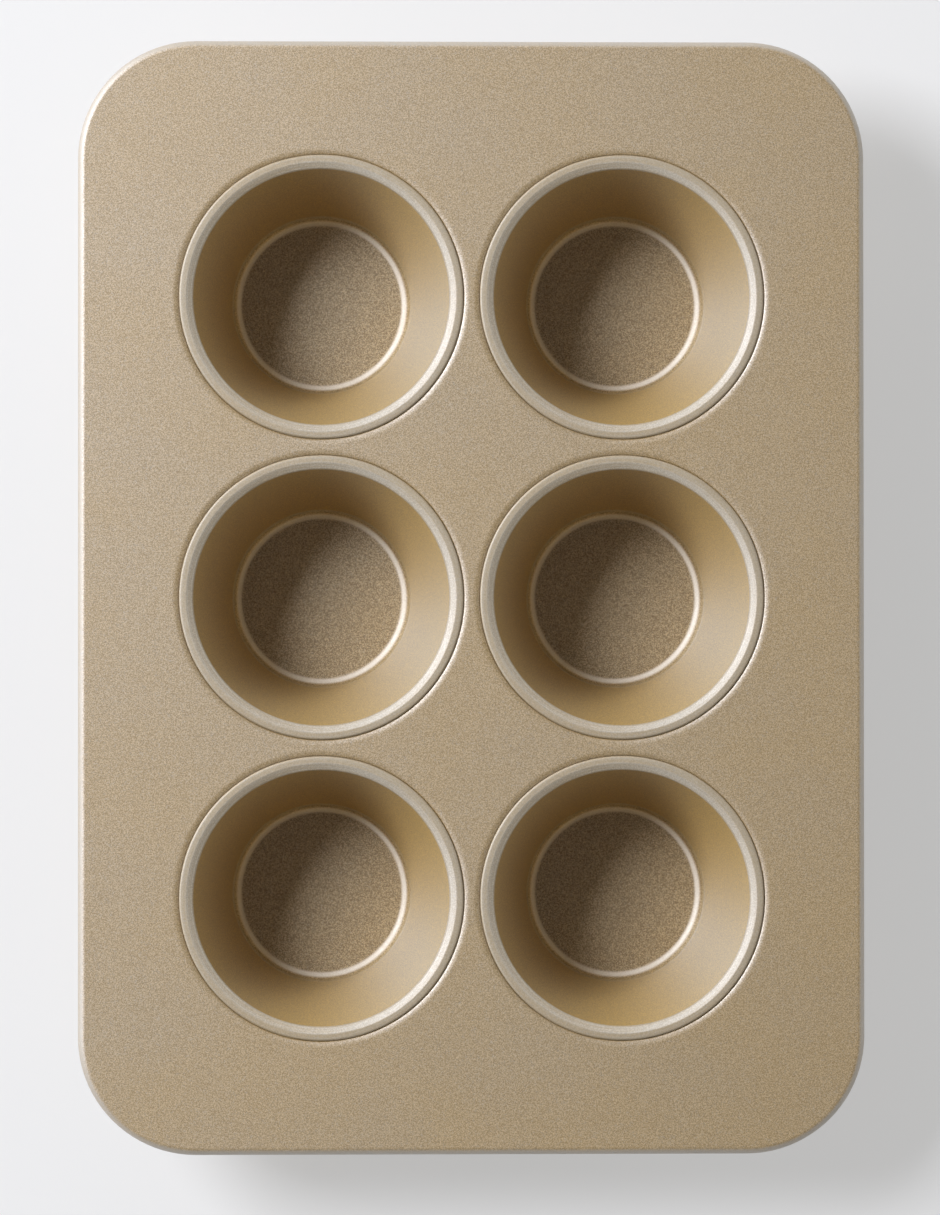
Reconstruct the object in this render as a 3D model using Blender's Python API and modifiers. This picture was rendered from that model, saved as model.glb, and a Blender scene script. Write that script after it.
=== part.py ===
# Six-cup jumbo muffin pan in pressed sheet steel with a gold non-stick coating.
# A flat tray with a rolled, wired edge carries six drawn cups. The edge of each hole in the tray turns
# down into a collar that narrows downwards. The brim of the cup rests in it, and the end of the brim is
# hooked round the collar's lower edge, so the cup goes neither up nor down.
# Metres, +Z up. The origin is on the ground, under the middle of the pan. +Y is the long side.

import math

import bmesh
import bpy
from mathutils import Vector

MM = 0.001

# Height over the brims. The flat top of the tray lies a little below the top of the brims.
PAN_HEIGHT = 50.8 * MM
CORNER_RADIUS = 42.4 * MM
FLAT_DROP = 0.3 * MM
TRAY_SHEET = 0.8 * MM
CUP_SHEET = 0.7 * MM

# The grid of cups, the flat web between two neighbours, and the flat margins from the outer cups to
# the outside of the rolled edge. With these the pan measures 282.6 by 400 mm.
ROWS = ("back", "middle", "front")
COLUMNS = ("left", "right")
WEB = 1.11 * MM
SIDE_MARGIN = 33.85 * MM
END_MARGIN = 38.54 * MM

# The brim: its crest lies on this circle round the cup's axis. Two equal bends with a sloping land
# between them lead up to the crest from the wall. From there the brim runs out nearly level on the
# crown's large radius, and it curls down at its outer edge.
BRIM_CIRCLE = 48.75 * MM
BRIM_BEND = 1.1 * MM
BRIM_SLOPE = 27.0
BRIM_LAND = 1.83 * MM
BRIM_CROWN = 40.0 * MM
BRIM_OUT = 2.32 * MM
BRIM_CURL = 0.8 * MM
FLOOR_RADIUS = 28.9 * MM
FLOOR_FILLET = 3.5 * MM

# The seam between a cup and the tray. The flat dips towards a hole in a wide sweep, by this many
# degrees, and bends sharply down into the collar. The collar leans in by this many degrees, and it
# ends this far past the place where the brim comes nearest to it. The hook ends this far below the bend.
SEAM_GAP = 0.12 * MM
HOLE_SWEEP = 6.0 * MM
HOLE_DIP = 16.0
HOLE_BEND = 1.0 * MM
COLLAR_LEAN = 20.0
COLLAR_END = 1.5 * MM
HOOK_CLEAR = 0.5 * MM

# The rolled edge, the wire inside it, and the gap where the roll comes round to the flat again.
WIRE_RADIUS = 1.5 * MM
WIRE_GAP = 0.3 * MM
ROLL_GAP = 0.4 * MM

# Facets round a cup, and in each rounded corner of the tray.
CUP_STEPS = 27
CORNER_STEPS = 7

COLLECTION = "muffin_pan"


def arc(centre, radius, start, end, steps):
    """Points (radius, height) along an arc of the section, angles in degrees from the outward axis."""
    points = []
    for step in range(steps + 1):
        angle = math.radians(start + (end - start) * step / steps)
        points.append((centre[0] + radius * math.cos(angle), centre[1] + radius * math.sin(angle)))
    return points


def moved(point, angle, distance):
    """A point of the section, shifted this far in a direction given in degrees from the outward axis."""
    turn = math.radians(angle)
    return (point[0] + distance * math.cos(turn), point[1] + distance * math.sin(turn))


def clear_scene():
    for item in list(bpy.data.objects):
        bpy.data.objects.remove(item, do_unlink=True)


def make_collection(name):
    collection = bpy.data.collections.new(name)
    bpy.context.scene.collection.children.link(collection)
    return collection


def make_material(name, colour, roughness, metallic):
    material = bpy.data.materials.new(name)
    material.use_nodes = True
    shader = material.node_tree.nodes["Principled BSDF"]
    shader.inputs["Base Color"].default_value = (*colour, 1.0)
    shader.inputs["Roughness"].default_value = roughness
    shader.inputs["Metallic"].default_value = metallic
    material.diffuse_color = (*colour, 1.0)
    return material


def add_solidify(item, thickness):
    """The modelled surface is the side seen from above, and the sheet lies behind it."""
    shell = item.modifiers.new("Sheet", "SOLIDIFY")
    shell.thickness = thickness
    shell.offset = -1.0
    shell.use_even_offset = True
    shell.use_quality_normals = True


def shade_smooth(mesh):
    mesh.shade_smooth()
    mesh.set_sharp_from_angle(angle=math.radians(50.0))


# Places in the section, and sizes of the whole pan, that follow from the sizes above.
CREST_CENTRE = (BRIM_CIRCLE, PAN_HEIGHT - BRIM_BEND)
SHOULDER_CENTRE = moved(CREST_CENTRE, 180.0 + BRIM_SLOPE, BRIM_LAND)
TRAY_TOP = PAN_HEIGHT - FLAT_DROP
TRAY_UNDERSIDE = TRAY_TOP - TRAY_SHEET
CROWN_CENTRE = (BRIM_CIRCLE, PAN_HEIGHT - BRIM_CROWN)
CROWN_TURN = math.degrees(math.asin((BRIM_OUT - BRIM_CURL) / (BRIM_CROWN - BRIM_CURL)))
CURL_CENTRE = moved(CROWN_CENTRE, 90.0 - CROWN_TURN, BRIM_CROWN - BRIM_CURL)
COLLAR_SEAT = moved(CURL_CENTRE, -COLLAR_LEAN, BRIM_CURL + SEAM_GAP)
COLLAR_EDGE = moved(COLLAR_SEAT, 270.0 - COLLAR_LEAN, COLLAR_END)
COLLAR_COS = math.cos(math.radians(COLLAR_LEAN))
COLLAR_SIN = math.sin(math.radians(COLLAR_LEAN))
# The sharp bend lies where the dipping flat and the collar are both tangent to it.
BEND_HEIGHT = TRAY_TOP - HOLE_SWEEP + (HOLE_SWEEP - HOLE_BEND) * math.cos(math.radians(HOLE_DIP))
COLLAR_RISE = (BEND_HEIGHT + HOLE_BEND * COLLAR_SIN - COLLAR_SEAT[1]) / COLLAR_COS
COLLAR_TOP = moved(COLLAR_SEAT, 90.0 - COLLAR_LEAN, COLLAR_RISE)
BEND_CENTRE = moved(COLLAR_TOP, -COLLAR_LEAN, HOLE_BEND)
SWEEP_CENTRE = moved(BEND_CENTRE, HOLE_DIP - 90.0, HOLE_SWEEP - HOLE_BEND)
# The hook goes round the collar's edge with the same gap on every side.
HOOK_CENTRE = moved(COLLAR_EDGE, -COLLAR_LEAN, TRAY_SHEET / 2)
HOOK_RADIUS = TRAY_SHEET / 2 + SEAM_GAP
HOOK_FOOT = moved(HOOK_CENTRE, -COLLAR_LEAN, HOOK_RADIUS)
HOOK_END = moved(HOOK_FOOT, 90.0 - COLLAR_LEAN, (BEND_HEIGHT - HOOK_CLEAR - HOOK_FOOT[1]) / COLLAR_COS)
# A cup takes the room of its hole's sweep or of its hook, whichever reaches further.
CUP_REACH = max(SWEEP_CENTRE[0], moved(HOOK_END, -COLLAR_LEAN, CUP_SHEET)[0])
CUP_PITCH = 2.0 * CUP_REACH + WEB
PAN_WIDTH = CUP_PITCH * (len(COLUMNS) - 1) + 2.0 * (CUP_REACH + SIDE_MARGIN)
PAN_LENGTH = CUP_PITCH * (len(ROWS) - 1) + 2.0 * (CUP_REACH + END_MARGIN)
BEAD_RADIUS = WIRE_RADIUS + WIRE_GAP + TRAY_SHEET
BEAD_HEIGHT = TRAY_TOP - BEAD_RADIUS


def wall_slope():
    """Angle of a cup's wall above the horizontal, tangent to the floor's fillet and the brim."""
    fillet_centre = (FLOOR_RADIUS, CUP_SHEET + FLOOR_FILLET)
    out = SHOULDER_CENTRE[0] - fillet_centre[0]
    up = SHOULDER_CENTRE[1] - fillet_centre[1]
    between = math.atan2(up, out)
    lean = math.asin((FLOOR_FILLET + BRIM_BEND) / math.hypot(out, up))
    return math.degrees(between + lean)


def cup_profile():
    """The side of a cup that is seen from above: floor, wall, brim, outer leg and hook."""
    slope = wall_slope()
    points = [(0.0, CUP_SHEET)]
    points += arc((FLOOR_RADIUS, CUP_SHEET + FLOOR_FILLET), FLOOR_FILLET, -90.0, slope - 90.0, 2)
    points += arc(SHOULDER_CENTRE, BRIM_BEND, slope + 90.0, BRIM_SLOPE + 90.0, 1)
    points += arc(CREST_CENTRE, BRIM_BEND, BRIM_SLOPE + 90.0, 90.0, 1)
    points += arc(CURL_CENTRE, BRIM_CURL, 90.0 - CROWN_TURN, -COLLAR_LEAN, 2)
    points += arc(HOOK_CENTRE, HOOK_RADIUS, 180.0 - COLLAR_LEAN, 360.0 - COLLAR_LEAN, 3)
    points.append(HOOK_END)
    return points


def hole_profile():
    """The edge of a hole in the tray: the sweep down from the flat, the sharp bend, then the collar."""
    points = arc(SWEEP_CENTRE, HOLE_SWEEP, 90.0, 90.0 + HOLE_DIP, 2)
    points += arc(BEND_CENTRE, HOLE_BEND, 90.0 + HOLE_DIP, 180.0 - COLLAR_LEAN, 1)[1:]
    points.append(COLLAR_EDGE)
    return points


def edge_profile():
    """The rolled edge, measured from a corner's centre: level with the flat, then round the wire."""
    centre = (CORNER_RADIUS - BEAD_RADIUS, BEAD_HEIGHT)
    close = math.degrees(math.asin((TRAY_UNDERSIDE - ROLL_GAP - BEAD_HEIGHT) / BEAD_RADIUS))
    points = arc(centre, BEAD_RADIUS, 90.0, -180.0, 9)
    points += arc(centre, BEAD_RADIUS, -180.0, -180.0 - close, 1)[1:]
    return points


def corner_centres():
    across = PAN_WIDTH / 2 - CORNER_RADIUS
    along = PAN_LENGTH / 2 - CORNER_RADIUS
    corners = [(across, along), (-across, along), (-across, -along), (across, -along)]
    return [Vector(corner) for corner in corners]


def cup_centres():
    """Name and place of each cup, back row first."""
    centres = {}
    for row, row_name in enumerate(ROWS):
        for column, column_name in enumerate(COLUMNS):
            across = column - (len(COLUMNS) - 1) / 2
            along = (len(ROWS) - 1) / 2 - row
            centres[f"cup_{row_name}_{column_name}"] = Vector((across, along)) * CUP_PITCH
    return centres


def rounded_outline(radius):
    """Points round the tray at this distance from the corners' centres, anticlockwise."""
    points = []
    for quarter, centre in enumerate(corner_centres()):
        for step in range(CORNER_STEPS + 1):
            angle = math.radians(90.0 * (quarter + step / CORNER_STEPS))
            points.append(centre + radius * Vector((math.cos(angle), math.sin(angle))))
    return points


def circle_outline(centre, radius):
    points = []
    for step in range(CUP_STEPS):
        angle = 2.0 * math.pi * step / CUP_STEPS
        points.append(centre + radius * Vector((math.cos(angle), math.sin(angle))))
    return points


def add_spline(curve, points, height):
    spline = curve.splines.new("POLY")
    spline.points.add(len(points) - 1)
    for point, place in zip(spline.points, points):
        point.co = (place.x, place.y, height, 1.0)
    spline.use_cyclic_u = True


def flat_with_holes(outline, holes):
    """The flat of the tray as a mesh, from a filled curve of its outline and its holes."""
    curve = bpy.data.curves.new("tray_flat", "CURVE")
    curve.dimensions = "2D"
    curve.fill_mode = "BOTH"
    add_spline(curve, outline, 0.0)
    for hole in holes:
        add_spline(curve, hole, 0.0)
    guide = bpy.data.objects.new("tray_flat", curve)
    bpy.context.scene.collection.objects.link(guide)
    graph = bpy.context.evaluated_depsgraph_get()
    mesh = bpy.data.meshes.new_from_object(guide.evaluated_get(graph))
    bpy.data.objects.remove(guide, do_unlink=True)
    bpy.data.curves.remove(curve)
    mesh.name = "tray"
    return mesh


def draw_edge(sheet, edges, centres, profile):
    """Draws an edge loop through the section, step by step, each point along its own radius."""
    for radius, height in profile[1:]:
        drawn = bmesh.ops.extrude_edge_only(sheet, edges=edges)["geom"]
        for vertex in drawn:
            if isinstance(vertex, bmesh.types.BMVert):
                centre = min(centres, key=lambda place: (vertex.co.xy - place).length)
                direction = (vertex.co.xy - centre).normalized()
                vertex.co.xy = centre + radius * direction
                vertex.co.z = height
        edges = [item for item in drawn if isinstance(item, bmesh.types.BMEdge)]


def make_tray(collection, material):
    """One sheet: the flat, the turned edge of each hole, and the edge rolled round the wire."""
    outer = edge_profile()
    inner = hole_profile()
    cups = list(cup_centres().values())
    holes = [circle_outline(centre, inner[0][0]) for centre in cups]
    mesh = flat_with_holes(rounded_outline(outer[0][0]), holes)

    sheet = bmesh.new()
    sheet.from_mesh(mesh)
    bmesh.ops.remove_doubles(sheet, verts=sheet.verts, dist=0.00001)
    for vertex in sheet.verts:
        vertex.co.z = TRAY_TOP
    rims = {index: [] for index in range(len(cups) + 1)}
    for edge in sheet.edges:
        if edge.is_boundary:
            middle = (edge.verts[0].co.xy + edge.verts[1].co.xy) / 2
            near = [index for index, centre in enumerate(cups) if (middle - centre).length < inner[0][0]]
            rims[near[0] if near else len(cups)].append(edge)
    for index, centre in enumerate(cups):
        draw_edge(sheet, rims[index], [centre], inner)
    draw_edge(sheet, rims[len(cups)], corner_centres(), outer)
    bmesh.ops.recalc_face_normals(sheet, faces=sheet.faces)
    flat = max(sheet.faces, key=lambda face: face.calc_area())
    if flat.normal.z < 0:
        bmesh.ops.reverse_faces(sheet, faces=sheet.faces)
    sheet.to_mesh(mesh)
    sheet.free()
    shade_smooth(mesh)

    tray = bpy.data.objects.new("tray", mesh)
    collection.objects.link(tray)
    mesh.materials.append(material)
    add_solidify(tray, TRAY_SHEET)
    return tray


def make_wire(collection, material):
    """A closed hoop of wire inside the rolled edge."""
    curve = bpy.data.curves.new("rim_wire", "CURVE")
    curve.dimensions = "3D"
    curve.twist_mode = "Z_UP"
    curve.bevel_depth = WIRE_RADIUS
    curve.bevel_resolution = 2
    curve.use_fill_caps = True
    add_spline(curve, rounded_outline(CORNER_RADIUS - BEAD_RADIUS), 0.0)
    wire = bpy.data.objects.new("rim_wire", curve)
    collection.objects.link(wire)
    curve.materials.append(material)
    return wire


def make_cups(collection, material):
    """Six cups turned from one section, set in the holes of the tray."""
    profile = cup_profile()
    mesh = bpy.data.meshes.new("cup")
    edges = [(index, index + 1) for index in range(len(profile) - 1)]
    mesh.from_pydata([(radius, 0.0, height) for radius, height in profile], edges, [])
    mesh.materials.append(material)
    cups = []
    for name, centre in cup_centres().items():
        cup = bpy.data.objects.new(name, mesh)
        collection.objects.link(cup)
        cup.location = (centre.x, centre.y, 0.0)
        turn = cup.modifiers.new("Turned", "SCREW")
        turn.axis = "Z"
        turn.steps = CUP_STEPS
        turn.render_steps = CUP_STEPS
        turn.use_merge_vertices = True
        turn.merge_threshold = 0.00001
        turn.use_smooth_shade = True
        add_solidify(cup, CUP_SHEET)
        cups.append(cup)
    return cups


def make_pan():
    clear_scene()
    collection = make_collection(COLLECTION)
    tray_coating = make_material("tray_coating", (0.42, 0.34, 0.23), 0.42, 0.75)
    cup_coating = make_material("cup_coating", (0.46, 0.36, 0.23), 0.32, 0.8)
    wire_steel = make_material("wire_steel", (0.45, 0.44, 0.42), 0.4, 1.0)
    tray = make_tray(collection, tray_coating)
    wire = make_wire(collection, wire_steel)
    wire.parent = tray
    wire.location = (0.0, 0.0, BEAD_HEIGHT)
    for cup in make_cups(collection, cup_coating):
        cup.parent = tray


make_pan()
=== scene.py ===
import math

import bmesh
import bpy
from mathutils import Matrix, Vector


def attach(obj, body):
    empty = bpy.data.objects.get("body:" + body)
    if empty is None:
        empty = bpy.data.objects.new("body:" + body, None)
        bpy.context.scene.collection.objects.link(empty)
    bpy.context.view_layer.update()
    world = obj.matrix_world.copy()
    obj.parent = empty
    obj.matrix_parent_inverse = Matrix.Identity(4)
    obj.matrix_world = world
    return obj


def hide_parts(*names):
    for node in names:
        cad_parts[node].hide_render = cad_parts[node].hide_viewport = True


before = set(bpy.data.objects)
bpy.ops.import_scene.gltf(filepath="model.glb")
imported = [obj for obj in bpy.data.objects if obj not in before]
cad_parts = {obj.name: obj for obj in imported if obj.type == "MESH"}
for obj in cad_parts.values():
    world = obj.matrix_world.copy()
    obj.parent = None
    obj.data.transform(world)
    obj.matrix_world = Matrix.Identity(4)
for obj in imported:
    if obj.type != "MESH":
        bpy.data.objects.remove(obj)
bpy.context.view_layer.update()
print("pan: frame loaded")

mm = 0.001
mergeDistance = 0.01 * mm

# sizes of the seam between a cup and the tray, the same as in the CAD
seam = {
    "panHeight": 50.8 * mm,
    "flatDrop": 0.3 * mm,        # flat of the tray below the brims
    "traySheet": 0.8 * mm,
    "cupSheet": 0.7 * mm,
    "brimCircle": 48.75 * mm,    # crest of the brim
    "brimBend": 1.1 * mm,        # above and below the sloping land inside the crest
    "brimSlope": 27.0,           # degrees
    "brimLand": 1.83 * mm,
    "brimCrown": 40.0 * mm,      # nearly level outer half
    "brimOut": 2.32 * mm,
    "brimCurl": 0.8 * mm,
    "gap": 0.12 * mm,
    "holeSweep": 6.0 * mm,       # the flat dips towards a hole
    "holeDip": 16.0,             # degrees
    "holeBend": 1.0 * mm,
    "collarLean": 20.0,          # degrees
    "collarEnd": 1.5 * mm,
    "hookClear": 0.5 * mm,
    "web": 1.11 * mm,            # flat left between two neighbours
}


def arc(centre, radius, start, end, steps):
    points = []
    for step in range(steps + 1):
        angle = math.radians(start + (end - start) * step / steps)
        points.append((centre[0] + radius * math.cos(angle), centre[1] + radius * math.sin(angle)))
    return points


def moved(point, angle, distance):
    turn = math.radians(angle)
    return (point[0] + distance * math.cos(turn), point[1] + distance * math.sin(turn))


# the section of the seam, in (radius, height) from a cup's axis: brim, collar and hook
lean = seam["collarLean"]
leanCos = math.cos(math.radians(lean))
leanSin = math.sin(math.radians(lean))
trayTop = seam["panHeight"] - seam["flatDrop"]
trayUnderside = trayTop - seam["traySheet"]
crestCentre = (seam["brimCircle"], seam["panHeight"] - seam["brimBend"])
shoulderCentre = moved(crestCentre, 180.0 + seam["brimSlope"], seam["brimLand"])
crownCentre = (seam["brimCircle"], seam["panHeight"] - seam["brimCrown"])
crownReach = (seam["brimOut"] - seam["brimCurl"]) / (seam["brimCrown"] - seam["brimCurl"])
crownTurn = math.degrees(math.asin(crownReach))
curlCentre = moved(crownCentre, 90.0 - crownTurn, seam["brimCrown"] - seam["brimCurl"])
collarSeat = moved(curlCentre, -lean, seam["brimCurl"] + seam["gap"])
collarEdge = moved(collarSeat, 270.0 - lean, seam["collarEnd"])
sweepLeft = seam["holeSweep"] - seam["holeBend"]
bendHeight = trayTop - seam["holeSweep"] + sweepLeft * math.cos(math.radians(seam["holeDip"]))
collarRise = (bendHeight + seam["holeBend"] * leanSin - collarSeat[1]) / leanCos
bendCentre = moved(moved(collarSeat, 90.0 - lean, collarRise), -lean, seam["holeBend"])
sweepCentre = moved(bendCentre, seam["holeDip"] - 90.0, sweepLeft)
hookCentre = moved(collarEdge, -lean, seam["traySheet"] / 2)
hookRadius = seam["traySheet"] / 2 + seam["gap"]
hookFoot = moved(hookCentre, -lean, hookRadius)
hookEnd = moved(hookFoot, 90.0 - lean, (bendHeight - seam["hookClear"] - hookFoot[1]) / leanCos)
cupReach = max(sweepCentre[0], moved(hookEnd, -lean, seam["cupSheet"])[0])
cupPitch = 2.0 * cupReach + seam["web"]

cupPlaces = {}
for rowStep, rowName in ((1, "back"), (0, "middle"), (-1, "front")):
    for columnStep, columnName in ((-0.5, "left"), (0.5, "right")):
        cupPlaces["cup_" + rowName + "_" + columnName] = Vector((columnStep, rowStep)) * cupPitch


# one socket of a finish, so that maths on it is written as plain Python
class Value:
    def __init__(self, finish, socket):
        self.finish = finish
        self.socket = socket

    def maths(self, operation, *given):
        return self.finish.node("ShaderNodeMath", {"operation": operation}, dict(enumerate(given)))

    def __add__(self, other):
        return self.maths("ADD", self, other)

    def __radd__(self, other):
        return self.maths("ADD", other, self)

    def __sub__(self, other):
        return self.maths("SUBTRACT", self, other)

    def __rsub__(self, other):
        return self.maths("SUBTRACT", other, self)

    def __mul__(self, other):
        return self.maths("MULTIPLY", self, other)

    def __rmul__(self, other):
        return self.maths("MULTIPLY", other, self)

    def __pow__(self, other):
        return self.maths("POWER", self, other)

    def __abs__(self):
        return self.maths("ABSOLUTE", self)

    def least(self, other):
        return self.maths("MINIMUM", self, other)

    def most(self, other):
        return self.maths("MAXIMUM", self, other)


# a material and the one way nodes are added to it
class Finish:
    def __init__(self, name):
        self.material = bpy.data.materials.new(name)
        self.material.use_nodes = True
        self.tree = self.material.node_tree
        self.shader = self.tree.nodes["Principled BSDF"]

    def node(self, kind, settings=None, sockets=None, output=0):
        made = self.tree.nodes.new(kind)
        for name, setting in (settings or {}).items():
            setattr(made, name, setting)
        for name, given in (sockets or {}).items():
            self.feed(made.inputs[name], given)
        return Value(self, made.outputs[output])

    def feed(self, socket, given):
        if isinstance(given, Value):
            self.tree.links.new(given.socket, socket)
        else:
            socket.default_value = given

    def shade(self, given):
        for name, level in given.items():
            self.feed(self.shader.inputs[name], level)

    def surface(self, given):
        self.feed(self.tree.nodes["Material Output"].inputs["Surface"], given)

    # two layers of one surface, the second showing in its share
    def layers(self, share, first, second):
        under = self.node("ShaderNodeBsdfPrincipled", None, first)
        over = self.node("ShaderNodeBsdfPrincipled", None, second)
        self.surface(self.node("ShaderNodeMixShader", None, {0: share, 1: under, 2: over}))
        self.tree.nodes.remove(self.shader)

    # the Mix node's colour sockets are its inputs 6 and 7 and its output 2
    def mix(self, factor, first, second):
        settings = {"data_type": "RGBA", "blend_type": "MIX", "clamp_factor": True}
        return self.node("ShaderNodeMix", settings, {0: factor, 6: first, 7: second}, 2)

    def vector(self, operation, *given, output="Vector"):
        settings = {"operation": operation}
        return self.node("ShaderNodeVectorMath", settings, dict(enumerate(given)), output)

    def axis(self, place, name):
        return self.node("ShaderNodeSeparateXYZ", None, {0: place}, name)

    def noise(self, place, size, detail=2.0, rough=0.5):
        sockets = {"Vector": place, "Scale": 1.0 / size, "Detail": detail, "Roughness": rough}
        return self.node("ShaderNodeTexNoise", {"noise_dimensions": "3D"}, sockets)

    # 0 below the first level, 1 above the second, soft between
    def step(self, level, first, second):
        sockets = {"Value": level, "From Min": first, "From Max": second}
        return self.node("ShaderNodeMapRange", {"interpolation_type": "SMOOTHSTEP"}, sockets)

    def bump(self, height, depth, under=None):
        sockets = {"Height": height, "Distance": depth, "Strength": 1.0}
        if under is not None:
            sockets["Normal"] = under
        return self.node("ShaderNodeBump", None, sockets)


# the same node calls for the studio's sky
class Sky(Finish):
    def __init__(self, world):
        self.tree = world.node_tree
        self.shader = self.tree.nodes["Background"]


def colour(red, green, blue):
    return (red, green, blue, 1.0)


# champagne non-stick coating: grey metal flake in a gold lacquer
coat = {
    "gold": colour(0.725, 0.446, 0.084),
    "deepGold": colour(0.400, 0.237, 0.045),     # in the low spots
    "paleGold": colour(0.820, 0.580, 0.250),     # in the clouds
    "lacquerRough": 0.70,
    "gloss": 0.1,
    "metalFlake": colour(0.715, 0.712, 0.712),
    "deepFlake": colour(0.381, 0.375, 0.369),
    "flakeRough": 0.53,
    "flakeShare": 0.55,
    "coatWeight": 0.6,           # clear skin over both
    "coatRoughness": 0.50,
    "grain": 0.44 * mm,          # size of the orange peel in the spray
    "grainDetail": 3.0,
    "grainRough": 0.6,
    "fineGrain": 0.42,           # size of the fine grain, as a part of the grain
    "fineInSpecks": 0.45,        # how much of it shows in the specks
    "fineInHeight": 0.3,         # and in the bumps
    "grainDepth": 0.040 * mm,
    "speckFade": (0.42, 0.59),
    "speckDeep": 0.95,
    "speckShare": 0.10,
    "flake": 0.35 * mm,
    "sparkFade": (0.80, 0.98),   # only the few flakes that lie right
    "sparkShare": 0.16,
    "mottle": 45.0 * mm,         # soft clouds where the spray overlaps
    "mottleRough": 0.45,
    "cloudFade": (0.3, 0.7),
    "cloudPale": 0.12,
    "cloudShare": 0.04,
}


# the paint, the share of flake, the height of the orange peel and its specks
def sprayCoat(finish, place):
    grain = finish.noise(place, coat["grain"], coat["grainDetail"], coat["grainRough"])
    fine = finish.noise(place, coat["grain"] * coat["fineGrain"], 1.0)
    flakes = {"Vector": place, "Scale": 1.0 / coat["flake"]}
    flake = finish.node("ShaderNodeTexVoronoi", {"feature": "F1"}, flakes, "Color")
    flakeTilt = finish.node("ShaderNodeSeparateColor", None, {"Color": flake}, "Red")
    mottle = finish.noise(place, coat["mottle"], 2.0, coat["mottleRough"])
    peel = grain * (1.0 - coat["fineInSpecks"]) + fine * coat["fineInSpecks"]
    speck = finish.step(peel, *coat["speckFade"])
    cloud = finish.step(mottle, *coat["cloudFade"])
    spark = finish.step(flakeTilt, *coat["sparkFade"])
    tint = finish.mix(cloud * coat["cloudPale"], coat["gold"], coat["paleGold"])
    tint = finish.mix((1.0 - speck) * coat["speckDeep"], tint, coat["deepGold"])
    share = coat["flakeShare"] + (speck - 0.5) * coat["speckShare"]
    share = share + (cloud - 0.5) * coat["cloudShare"] + spark * coat["sparkShare"]
    height = grain * (1.0 - coat["fineInHeight"]) + fine * coat["fineInHeight"]
    return tint, share, height, speck


def coated(finish, share, skinWeight, lacquer, flakes):
    skin = {"Coat Weight": skinWeight, "Coat Roughness": coat["coatRoughness"]}
    lacquerLook = {"Roughness": coat["lacquerRough"], "Specular IOR Level": coat["gloss"]}
    finish.layers(share, {**lacquer, **lacquerLook, **skin}, {**flakes, "Metallic": 1.0, **skin})


tray = {
    "sideMargin": 33.85 * mm,
    "endMargin": 38.54 * mm,
    "cornerRadius": 42.4 * mm,
    "wireRadius": 1.5 * mm,
    "wireGap": 0.3 * mm,
    "rollGap": 0.4 * mm,
    "cornerSteps": 22,
    "holeSteps": 112,
    "dipSteps": 6,
    "bendSteps": 6,
    "rollSteps": 30,
    "closeSteps": 3,
    "support": 0.12 * mm,        # narrow ring of flat that keeps the shading level
    "waveSize": 70.0 * mm,
    "waveDepth": 0.05 * mm,      # how far the pressed flat waves up and down
    "beadSheen": 0.20,              # painted reflection: how far the bead is painted paler
    "beadSheenGold": colour(0.640, 0.620, 0.570),
    "beadSheenFlake": colour(0.620, 0.620, 0.615),
    "beadFade": (0.2 * mm, 1.5 * mm),            # outside the edge of the flat
    "beadRough": 0.20,
    "beadShare": 0.14,
    "beadSmooth": 0.6,
    "beadSkin": 0.72,            # the clear skin is thicker there
    "sheenPatchSize": 9.0 * mm,
    "sheenPatchFade": (0.35, 0.7),
    "sheenPatchPart": 0.2,
    "holeShadeFade": (-1.2 * mm, 1.4 * mm),            # painted shade round the sharp bend of a hole
    "holeShadeDepth": 0.20,
}

beadRadius = tray["wireRadius"] + tray["wireGap"] + seam["traySheet"]
beadHeight = trayTop - beadRadius
panWidth = cupPitch + 2.0 * (cupReach + tray["sideMargin"])
panLength = 2.0 * cupPitch + 2.0 * (cupReach + tray["endMargin"])
cornerAcross = panWidth / 2 - tray["cornerRadius"]
cornerAlong = panLength / 2 - tray["cornerRadius"]
cornerPlaces = [Vector((cornerAcross, cornerAlong)), Vector((-cornerAcross, cornerAlong)),
                Vector((-cornerAcross, -cornerAlong)), Vector((cornerAcross, -cornerAlong))]


def roundedOutline(radius, steps):
    points = []
    for quarter, centre in enumerate(cornerPlaces):
        for step in range(steps + 1):
            angle = math.radians(90.0 * (quarter + step / steps))
            points.append(centre + radius * Vector((math.cos(angle), math.sin(angle))))
    return points


def circleOutline(centre, radius, steps):
    turns = [2.0 * math.pi * step / steps for step in range(steps)]
    return [centre + radius * Vector((math.cos(turn), math.sin(turn))) for turn in turns]


def addSpline(curve, points):
    spline = curve.splines.new("POLY")
    spline.points.add(len(points) - 1)
    for point, spot in zip(spline.points, points):
        point.co = (spot.x, spot.y, 0.0, 1.0)
    spline.use_cyclic_u = True


def newPiece(name, data):
    piece = bpy.data.objects.new(name, data)
    bpy.context.scene.collection.objects.link(piece)
    return piece


def solidSheet(piece, thickness):
    shell = piece.modifiers.new("Sheet", "SOLIDIFY")
    shell.thickness = thickness
    shell.offset = -1.0
    shell.use_even_offset = True
    shell.use_quality_normals = True


def seat(piece, node):
    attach(piece, "root")
    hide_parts(node)


# dip and sharp bend down into a hole, then the leaning collar
def holeProfile():
    dip = 90.0 + seam["holeDip"]
    points = [(sweepCentre[0] + tray["support"], trayTop)]
    points += arc(sweepCentre, seam["holeSweep"], 90.0, dip, tray["dipSteps"])
    points += arc(bendCentre, seam["holeBend"], dip, 180.0 - lean, tray["bendSteps"])[1:]
    points.append(collarEdge)
    return points


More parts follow.
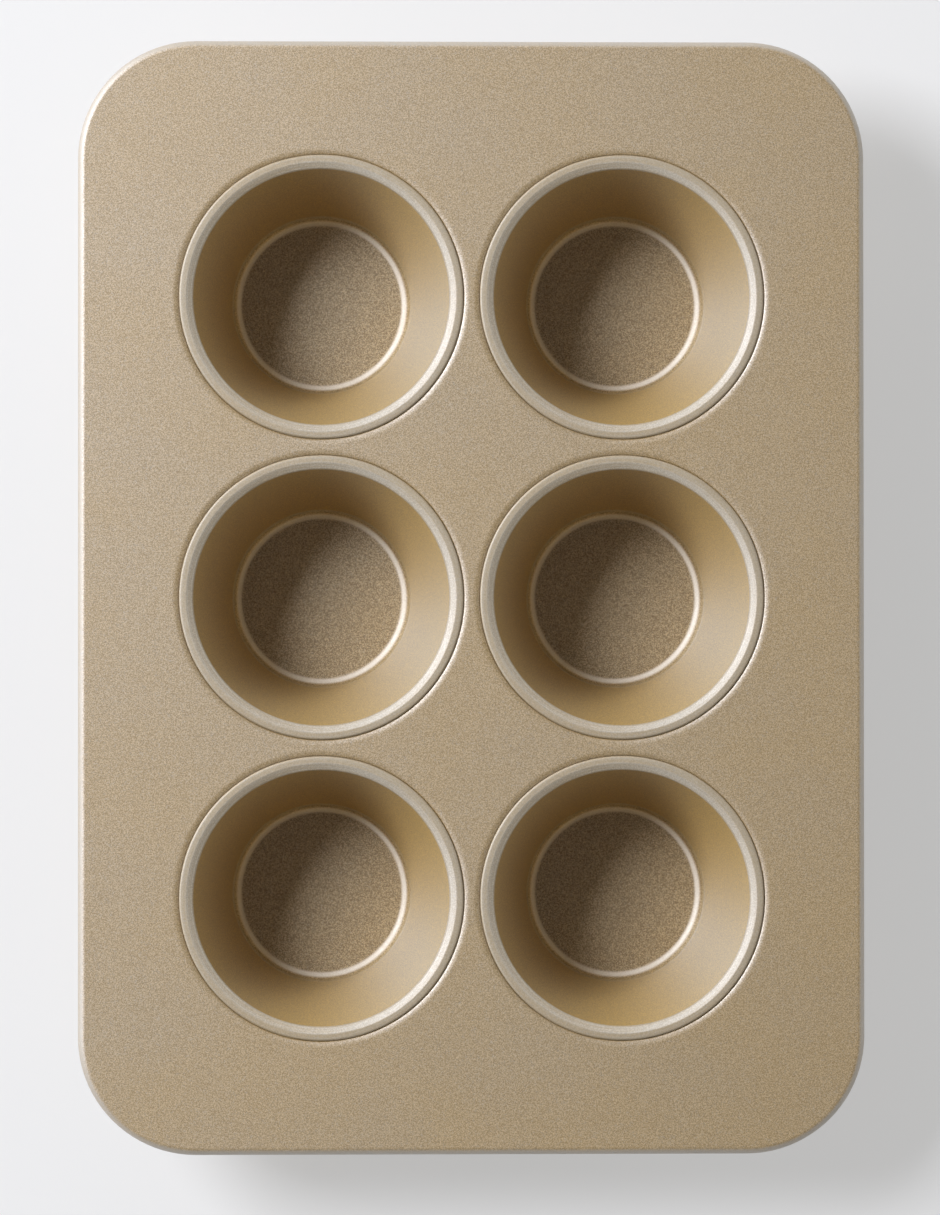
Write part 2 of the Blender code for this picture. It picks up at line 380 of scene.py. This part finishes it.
# level with the flat, then over the wire and round under it, from a corner's centre
def edgeProfile():
    centre = (tray["cornerRadius"] - beadRadius, beadHeight)
    close = math.degrees(math.asin((trayUnderside - tray["rollGap"] - beadHeight) / beadRadius))
    points = [(centre[0] - tray["support"], trayTop)]
    points += arc(centre, beadRadius, 90.0, -180.0, tray["rollSteps"])
    points += arc(centre, beadRadius, -180.0, -180.0 - close, tray["closeSteps"])[1:]
    return points


# draws the loop of edges on through a section, each point from the nearest of the centres
def drawEdge(sheet, edges, centres, profile):
    for radius, height in profile[1:]:
        drawn = bmesh.ops.extrude_edge_only(sheet, edges=edges)["geom"]
        for vertex in drawn:
            if isinstance(vertex, bmesh.types.BMVert):
                centre = min(centres, key=lambda spot: (vertex.co.xy - spot).length)
                vertex.co.xy = centre + radius * (vertex.co.xy - centre).normalized()
                vertex.co.z = height
        edges = [item for item in drawn if isinstance(item, bmesh.types.BMEdge)]


# the flat with its six holes, filled by a curve
def flatMesh(outerRadius, holeRadius):
    curve = bpy.data.curves.new("trayFlat", "CURVE")
    curve.dimensions = "2D"
    curve.fill_mode = "BOTH"
    addSpline(curve, roundedOutline(outerRadius, tray["cornerSteps"]))
    for centre in cupPlaces.values():
        addSpline(curve, circleOutline(centre, holeRadius, tray["holeSteps"]))
    guide = newPiece("trayFlat", curve)
    graph = bpy.context.evaluated_depsgraph_get()
    mesh = bpy.data.meshes.new_from_object(guide.evaluated_get(graph))
    bpy.data.objects.remove(guide, do_unlink=True)
    bpy.data.curves.remove(curve)
    mesh.name = "traySheet"
    return mesh


def makeTray():
    outer = edgeProfile()
    inner = holeProfile()
    holes = list(cupPlaces.values())
    mesh = flatMesh(outer[0][0], inner[0][0])
    sheet = bmesh.new()
    sheet.from_mesh(mesh)
    bmesh.ops.remove_doubles(sheet, verts=sheet.verts, dist=mergeDistance)
    for vertex in sheet.verts:
        vertex.co.z = trayTop

    # the loops of edges round the six holes, and last the one round the outside
    reach = inner[0][0]
    rims = [[] for centre in holes] + [[]]
    for edge in sheet.edges:
        if edge.is_boundary:
            middle = (edge.verts[0].co.xy + edge.verts[1].co.xy) / 2
            near = [index for index, centre in enumerate(holes) if (middle - centre).length < reach]
            rims[near[0] if near else -1].append(edge)
    for rim, centre in zip(rims, holes):
        drawEdge(sheet, rim, [centre], inner)
    drawEdge(sheet, rims[-1], cornerPlaces, outer)

    bmesh.ops.recalc_face_normals(sheet, faces=sheet.faces)
    flat = max(sheet.faces, key=lambda face: face.calc_area())
    if flat.normal.z < 0:
        bmesh.ops.reverse_faces(sheet, faces=sheet.faces)
    sheet.to_mesh(mesh)
    sheet.free()
    mesh.shade_smooth()
    mesh.materials.append(trayFinish())
    piece = newPiece("pressedTray", mesh)
    solidSheet(piece, seam["traySheet"])
    seat(piece, "tray")


# coating on the tray: sprayed on the flat, with a painted reflection making the bead paler
# and painted shade making it darker where it runs into the holes
def trayFinish():
    finish = Finish("trayCoating")
    spot = finish.node("ShaderNodeTexCoord", None, None, "Object")
    tint, share, height, speck = sprayCoat(finish, spot)
    across = finish.axis(spot, "X")
    along = finish.axis(spot, "Y")

    cornerX = (abs(across) - cornerAcross).most(0.0)
    cornerY = (abs(along) - cornerAlong).most(0.0)
    fromCorner = (cornerX * cornerX + cornerY * cornerY) ** 0.5
    bead = finish.step(fromCorner - (tray["cornerRadius"] - beadRadius), *tray["beadFade"])

    nearest = None
    for centre in cupPlaces.values():
        offX = across - centre.x
        offY = along - centre.y
        away = offX * offX + offY * offY
        nearest = away if nearest is None else nearest.least(away)
    # painted shade: the coating painted darker round the bend into each hole
    holeShade = 1.0 - finish.step(nearest ** 0.5 - bendCentre[0], *tray["holeShadeFade"])

    # painted reflection: the bead painted paler and greyer, unevenly in patches
    sheenPatches = finish.step(finish.noise(spot, tray["sheenPatchSize"], 3.0), *tray["sheenPatchFade"])
    beadSheen = bead * (1.0 - tray["sheenPatchPart"] + sheenPatches * tray["sheenPatchPart"]) * tray["beadSheen"]
    tint = finish.mix(beadSheen, tint, tray["beadSheenGold"])
    tint = finish.mix(holeShade * tray["holeShadeDepth"], tint, coat["deepGold"])
    flakeTint = finish.mix(speck, coat["deepFlake"], coat["metalFlake"])
    # painted reflection: paler flake on the bead
    flakeTint = finish.mix(bead, flakeTint, tray["beadSheenFlake"])
    rough = coat["flakeRough"] + bead * tray["beadRough"]
    soft = finish.bump(finish.noise(spot, tray["waveSize"], 1.0), tray["waveDepth"])
    normal = finish.bump(height * (1.0 - bead * tray["beadSmooth"]), coat["grainDepth"], soft)
    skinWeight = coat["coatWeight"] + bead * (tray["beadSkin"] - coat["coatWeight"])
    lacquer = {"Base Color": tint, "Normal": normal}
    flakes = {"Base Color": flakeTint, "Roughness": rough, "Normal": normal}
    coated(finish, share + bead * tray["beadShare"], skinWeight, lacquer, flakes)
    return finish.material


wire = {
    "pathSteps": 22,
    "roundSteps": 5,
    "steel": colour(0.47, 0.46, 0.44),
    "darkSteel": colour(0.30, 0.28, 0.25),
    "roughness": 0.36,
    "scaleSize": 2.5 * mm,       # dull patches of mill scale
    "scaleDetail": 4.0,
    "scaleUneven": 0.6,
    "scaleFade": (0.4, 0.65),
    "scaleDark": 0.6,
    "scaleRough": 0.16,
    "markSize": 0.16 * mm,       # marks of the drawing die
    "markStretch": (0.04, 0.04, 1.0),
    "markRough": 0.1,
    "markDepth": 0.02 * mm,
}


# drawn steel wire, bent into one hoop inside the rolled edge
def makeWire():
    curve = bpy.data.curves.new("rimWireHoop", "CURVE")
    curve.dimensions = "3D"
    curve.twist_mode = "Z_UP"
    curve.bevel_depth = tray["wireRadius"]
    curve.bevel_resolution = wire["roundSteps"]
    addSpline(curve, roundedOutline(tray["cornerRadius"] - beadRadius, wire["pathSteps"]))
    for point in curve.splines[0].points:
        point.co.z = beadHeight
    curve.materials.append(wireFinish())
    seat(newPiece("rimWireHoop", curve), "rim_wire")


def wireFinish():
    finish = Finish("drawnWire")
    spot = finish.node("ShaderNodeTexCoord", None, None, "Object")
    patches = finish.noise(spot, wire["scaleSize"], wire["scaleDetail"], wire["scaleUneven"])
    dull = finish.step(patches, *wire["scaleFade"])
    marks = finish.noise(finish.vector("MULTIPLY", spot, wire["markStretch"]), wire["markSize"])
    finish.shade({
        "Base Color": finish.mix(dull * wire["scaleDark"], wire["steel"], wire["darkSteel"]),
        "Roughness": wire["roughness"] + dull * wire["scaleRough"] + (marks - 0.5) * wire["markRough"],
        "Metallic": 1.0,
        "Normal": finish.bump(marks, wire["markDepth"]),
    })
    return finish.material


cup = {
    "floorRadius": 28.9 * mm,
    "floorFillet": 3.5 * mm,
    "floorEdge": 0.3 * mm,       # narrow ring of floor that keeps the shading level
    "turnSteps": 112,
    "filletSteps": 12,
    "wallSteps": 6,
    "shoulderSteps": 6,
    "crestSteps": 5,
    "crownSteps": 3,
    "curlSteps": 9,
    "hookSteps": 10,
    "mouth": (0.0, 0.0, 60.0 * mm),              # what faces this point is the inside
    "mouthFade": (-0.05, 0.05),
    "drawLines": 0.34 * mm,      # spacing of the fine rings left by the drawing die
    "lineDetail": 3.0,
    "lineUneven": 0.7,
    "lineDrift": 0.01,           # so that they change slowly on their way round
    "lineFade": (0.40, 0.62),
    "lineDepth": 0.004 * mm,
    "lineRough": 0.06,
    "lineFloor": 0.25,           # how much of the rings shows on the floor
    "brimFade": (48.7 * mm, 49.3 * mm),          # height
    "brimGold": colour(0.620, 0.530, 0.380),     # pale where the die has pressed the brim
    "brimFlake": colour(0.770, 0.763, 0.744),
    "brimRough": 0.70,
    "brimPale": 0.44,            # between the lines
    "brimSpeck": 0.8,
    "brimLines": 0.36,           # how much the lines darken the flake
    "crownFade": (48.2 * mm, 49.0 * mm),         # radius
    "crownGold": colour(0.540, 0.410, 0.220),    # the level outer half keeps more of the gold
    "crownFlake": colour(0.610, 0.597, 0.562),
    "ringAt": 30.35 * mm,        # painted highlight: a pale ring round the floor, where its fillet catches the light
    "ringHalf": 1.45 * mm,
    "ringCore": 0.25,
    "ringHighlightGold": colour(0.860, 0.800, 0.695),
    "ringHighlightFlake": colour(0.820, 0.810, 0.790),
    "ringRough": 0.46,
    "ringShare": 0.05,
    "ringSpeck": 0.20,
    "ringFlakeSpeck": 0.25,
    "ringSmooth": 0.6,
    "ringBare": 0.6,             # clear skin missing there
    "floorShadeGold": colour(0.300, 0.170, 0.045),
    "floorFlake": colour(0.785, 0.755, 0.645),
    "floorDeep": colour(0.323, 0.300, 0.260),
    "floorShade": 0.80,           # painted shade: the floors painted darker than the walls, as the cup shades them
    "floorSpeck": 1.2,
    "wallFade": (2.0 * mm, 6.0 * mm),            # height
    "wallGold": colour(0.547, 0.312, 0.0073),    # coating stretched thin by the drawing
    "wallDeep": colour(0.345, 0.196, 0.0047),
    "wallCover": 0.96,
    "wallFlake": colour(0.370, 0.690, 1.000),
    "wallRough": 0.61,
    "wallShare": 0.121,
    "wallEven": 0.9,             # the share of flake varies less there
    "wallSmooth": 0.88,
    "flakeLevel": 0.60,          # the flakes lie nearer level than the wall
}


# wall tangent to the floor's fillet and to the brim, in degrees above the level
def wallSlope():
    out = shoulderCentre[0] - cup["floorRadius"]
    up = shoulderCentre[1] - seam["cupSheet"] - cup["floorFillet"]
    tilt = math.asin((cup["floorFillet"] + seam["brimBend"]) / math.hypot(out, up))
    return math.degrees(math.atan2(up, out) + tilt)


# inside of a cup from the middle of its floor out, over the brim and down to the hook
def cupProfile():
    slope = wallSlope()
    land = seam["brimSlope"] + 90.0
    crown = 90.0 - crownTurn
    floor = seam["cupSheet"]
    flat = cup["floorRadius"] - cup["floorEdge"]
    fillet = (cup["floorRadius"], floor + cup["floorFillet"])
    points = [(across, floor) for across in (0.0, cup["floorRadius"] / 2, flat)]
    points += arc(fillet, cup["floorFillet"], -90.0, slope - 90.0, cup["filletSteps"])
    low = points[-1]
    high = moved(shoulderCentre, slope + 90.0, seam["brimBend"])
    for step in range(1, cup["wallSteps"]):
        share = step / cup["wallSteps"]
        points.append((low[0] + (high[0] - low[0]) * share, low[1] + (high[1] - low[1]) * share))
    points += arc(shoulderCentre, seam["brimBend"], slope + 90.0, land, cup["shoulderSteps"])
    points += arc(crestCentre, seam["brimBend"], land, 90.0, cup["crestSteps"])
    points += arc(crownCentre, seam["brimCrown"], 90.0, crown, cup["crownSteps"])[1:]
    points += arc(curlCentre, seam["brimCurl"], crown, -lean, cup["curlSteps"])[1:]
    points += arc(hookCentre, hookRadius, 180.0 - lean, 360.0 - lean, cup["hookSteps"])
    points.append(hookEnd)
    return points


# six cups turned from one section, each set in its own hole
def makeCups():
    profile = cupProfile()
    mesh = bpy.data.meshes.new("drawnCup")
    edges = [(index, index + 1) for index in range(len(profile) - 1)]
    mesh.from_pydata([(radius, 0.0, height) for radius, height in profile], edges, [])
    mesh.materials.append(cupFinish())
    for node, centre in cupPlaces.items():
        piece = newPiece("drawn_" + node, mesh)
        piece.location = (centre.x, centre.y, 0.0)
        turn = piece.modifiers.new("Turned", "SCREW")
        turn.axis = "Z"
        turn.steps = cup["turnSteps"]
        turn.render_steps = cup["turnSteps"]
        turn.use_merge_vertices = True
        turn.merge_threshold = mergeDistance
        turn.use_smooth_shade = True
        solidSheet(piece, seam["cupSheet"])
        seat(piece, node)


# the tray's coating on the outside; stretched walls, a pressed brim, painted shade on the floor and a
# painted highlight in a ring round it on the inside
def cupFinish():
    finish = Finish("cupCoating")
    spot = finish.node("ShaderNodeTexCoord", None, None, "Object")
    where = finish.node("ShaderNodeObjectInfo", None, None, "Location")
    tint, share, height, speck = sprayCoat(finish, finish.vector("ADD", spot, where))
    across = finish.axis(spot, "X")
    along = finish.axis(spot, "Y")
    up = finish.axis(spot, "Z")
    radius = (across * across + along * along) ** 0.5
    facing = finish.node("ShaderNodeNewGeometry", None, None, "Normal")
    toMouth = finish.vector("NORMALIZE", finish.vector("SUBTRACT", cup["mouth"], spot))
    turned = finish.vector("DOT_PRODUCT", facing, toMouth, output="Value")
    inside = finish.step(turned, *cup["mouthFade"])

    section = {"X": radius, "Y": up, "Z": across * cup["lineDrift"]}
    ringSpot = finish.node("ShaderNodeCombineXYZ", None, section)
    rings = finish.noise(ringSpot, cup["drawLines"], cup["lineDetail"], cup["lineUneven"])
    lines = finish.step(rings, *cup["lineFade"])
    brim = finish.step(up, *cup["brimFade"])
    crown = finish.step(radius, *cup["crownFade"])
    wall = finish.step(up, *cup["wallFade"])
    drawn = wall * (1.0 - brim) * inside
    floor = (1.0 - wall) * inside
    offRing = abs(radius - cup["ringAt"])
    # painted highlight: the ring round the floor
    highlightRing = (1.0 - finish.step(offRing, cup["ringHalf"] * cup["ringCore"], cup["ringHalf"])) * floor

    # painted shade: the floors pulled towards a dark gold
    tint = finish.mix(floor * (cup["floorSpeck"] - speck) * cup["floorShade"], tint, cup["floorShadeGold"])
    wallTint = finish.mix(speck, cup["wallDeep"], cup["wallGold"])
    tint = finish.mix(drawn * cup["wallCover"], tint, wallTint)
    brimTint = finish.mix(crown, cup["brimGold"], cup["crownGold"])
    tint = finish.mix(brim * (cup["brimPale"] + lines * (1.0 - cup["brimPale"])), tint, brimTint)
    ringCover = 1.0 - cup["ringSpeck"] + speck * cup["ringSpeck"]
    # painted highlight: the ring painted pale
    tint = finish.mix(highlightRing * ringCover, tint, cup["ringHighlightGold"])

    plain = finish.mix(speck, coat["deepFlake"], coat["metalFlake"])
    floorFlake = finish.mix(speck, cup["floorDeep"], cup["floorFlake"])
    flakeTint = finish.mix(inside, plain, finish.mix(wall, floorFlake, cup["wallFlake"]))
    pressed = finish.mix(crown, cup["brimFlake"], cup["crownFlake"])
    specked = speck * cup["brimSpeck"] + (1.0 - cup["brimSpeck"])
    scored = specked * (1.0 - cup["brimLines"] + lines * cup["brimLines"])
    flakeTint = finish.mix(brim, flakeTint, finish.mix(scored, coat["deepFlake"], pressed))
    flakeCover = 1.0 - cup["ringFlakeSpeck"] + speck * cup["ringFlakeSpeck"]
    # painted highlight: paler flake in the ring
    flakeTint = finish.mix(highlightRing * flakeCover, flakeTint, cup["ringHighlightFlake"])

    rough = coat["flakeRough"] + drawn * (cup["wallRough"] - coat["flakeRough"])
    rough = rough + brim * (cup["brimRough"] - coat["flakeRough"])
    rough = rough + highlightRing * (cup["ringRough"] - coat["flakeRough"])
    rough = rough + (rings - 0.5) * wall * cup["lineRough"]
    share = share + highlightRing * (cup["ringShare"] - coat["flakeShare"])
    wallLeft = cup["wallShare"] - coat["flakeShare"] * (1.0 - cup["wallEven"])
    share = share * (1.0 - drawn * cup["wallEven"]) + drawn * wallLeft

    lineCover = cup["lineFloor"] + wall * (1.0 - cup["lineFloor"])
    lined = finish.bump(rings * lineCover, cup["lineDepth"])
    peel = height * (1.0 - drawn * cup["wallSmooth"] - highlightRing * cup["ringSmooth"])
    normal = finish.bump(peel, coat["grainDepth"], lined)
    level = drawn * cup["flakeLevel"]
    tilted = finish.vector("MULTIPLY", normal, 1.0 - level)
    lifted = finish.vector("MULTIPLY", (0.0, 0.0, 1.0), level)
    settled = finish.vector("NORMALIZE", finish.vector("ADD", tilted, lifted))
    skinWeight = (1.0 - drawn - highlightRing * cup["ringBare"]) * coat["coatWeight"]
    lacquer = {"Base Color": tint, "Normal": normal}
    flakes = {"Base Color": flakeTint, "Roughness": rough, "Normal": settled}
    coated(finish, share, skinWeight, lacquer, flakes)
    return finish.material


makeTray()
print("pan: tray pressed and rolled")
makeWire()
print("pan: wire hoop in the rolled edge")
makeCups()
print("pan: six cups set in")

studio = {
    "floorColour": colour(0.86, 0.86, 0.86),
    "floorRough": 0.6,
    "floorGloss": 0.15,
    "floorGlow": 0.49,           # share of the pale floor that the camera sees free of shadow
    "floorSize": 8.0,
    "floorDrop": 0.05 * mm,      # so that it shares no plane with the cups' undersides
    "keyDistance": 2.8,
    "keyTurn": 154.0,            # degrees round from +X: mostly from the left
    "keyRise": 42.0,             # degrees above the floor
    "keySize": 1.2,
    "keyPower": 91.0,
    "keyColour": (0.975, 0.99, 1.05),
    "skyTurn": 65.0,             # the room's pale wall is behind, on the right
    "skyLow": 1.0,
    "skyShade": 0.35,            # dimmer wall across from it
    "skyHigh": 0.09,             # dim ceiling
    "skySide": (-1.0, 0.4),      # from the dim wall to the pale one
    "skyRise": (0.15, 0.80),     # from the walls to the ceiling
    "skyColour": colour(1.0, 0.985, 0.955),
    "skySeen": 0.9,
}


def makeFloor():
    half = studio["floorSize"] / 2
    drop = -studio["floorDrop"]
    corners = [(-half, -half, drop), (half, -half, drop), (half, half, drop), (-half, half, drop)]
    mesh = bpy.data.meshes.new("studioFloor")
    mesh.from_pydata(corners, [], [(0, 1, 2, 3)])
    finish = Finish("studioFloor")
    finish.shade({
        "Base Color": studio["floorColour"],
        "Roughness": studio["floorRough"],
        "Specular IOR Level": studio["floorGloss"],
    })
    seen = finish.node("ShaderNodeLightPath", None, None, "Is Camera Ray")
    matt = Value(finish, finish.shader.outputs[0])
    glow = finish.node("ShaderNodeEmission", None, {"Color": studio["floorColour"], "Strength": 1.0})
    top = finish.node("ShaderNodeMixShader", None, {0: seen * studio["floorGlow"], 1: matt, 2: glow})
    # clear from underneath, so that the bottom of the pan can be looked at
    beneath = finish.node("ShaderNodeNewGeometry", None, None, "Backfacing")
    clear = finish.node("ShaderNodeBsdfTransparent")
    finish.surface(finish.node("ShaderNodeMixShader", None, {0: beneath, 1: top, 2: clear}))
    mesh.materials.append(finish.material)
    newPiece("studioFloor", mesh)


def makeLights():
    lamp = bpy.data.lights.new("softKey", "AREA")
    lamp.shape = "SQUARE"
    lamp.size = studio["keySize"]
    lamp.energy = studio["keyPower"]
    lamp.color = studio["keyColour"]
    key = newPiece("softKey", lamp)
    turn = math.radians(studio["keyTurn"])
    rise = math.radians(studio["keyRise"])
    level = Vector((math.cos(turn), math.sin(turn), 0.0))
    away = level * math.cos(rise) + Vector((0.0, 0.0, math.sin(rise)))
    key.location = away * studio["keyDistance"]
    key.rotation_euler = (-away).to_track_quat("-Z", "Y").to_euler()

    world = bpy.data.worlds.new("studioSky")
    world.use_nodes = True
    sky = Sky(world)
    direction = sky.node("ShaderNodeTexCoord", None, None, "Generated")
    wallTurn = math.radians(studio["skyTurn"])
    toWall = (math.cos(wallTurn), math.sin(wallTurn), 0.0)
    side = sky.step(sky.vector("DOT_PRODUCT", direction, toWall, output="Value"), *studio["skySide"])
    low = studio["skyShade"] + side * (studio["skyLow"] - studio["skyShade"])
    wall = 1.0 - sky.step(sky.axis(direction, "Z"), *studio["skyRise"])
    lit = studio["skyHigh"] + wall * (low - studio["skyHigh"])
    seen = sky.node("ShaderNodeLightPath", None, None, "Is Camera Ray")
    sky.shade({
        "Color": studio["skyColour"],
        "Strength": lit * (1.0 - seen) + seen * studio["skySeen"],
    })
    bpy.context.scene.world = world


# nearly straight down, a little to the left of the middle and nearer the front
camera = {
    "place": (-0.04621, -0.02245, 1.88594),
    "turn": (0.5874, -1.4216, -0.028),           # degrees
    "lens": 151.53,
    "sensor": 36.0,
    "near": 0.05,
    "far": 50.0,
}


def makeCamera():
    data = bpy.data.cameras.new("topCamera")
    data.lens = camera["lens"]
    data.sensor_width = camera["sensor"]
    data.clip_start = camera["near"]
    data.clip_end = camera["far"]
    piece = newPiece("topCamera", data)
    piece.location = camera["place"]
    piece.rotation_euler = [math.radians(turn) for turn in camera["turn"]]
    bpy.context.scene.camera = piece


makeFloor()
makeLights()
makeCamera()
bpy.context.scene.view_settings.view_transform = "Standard"
print("pan: floor, light and camera set")
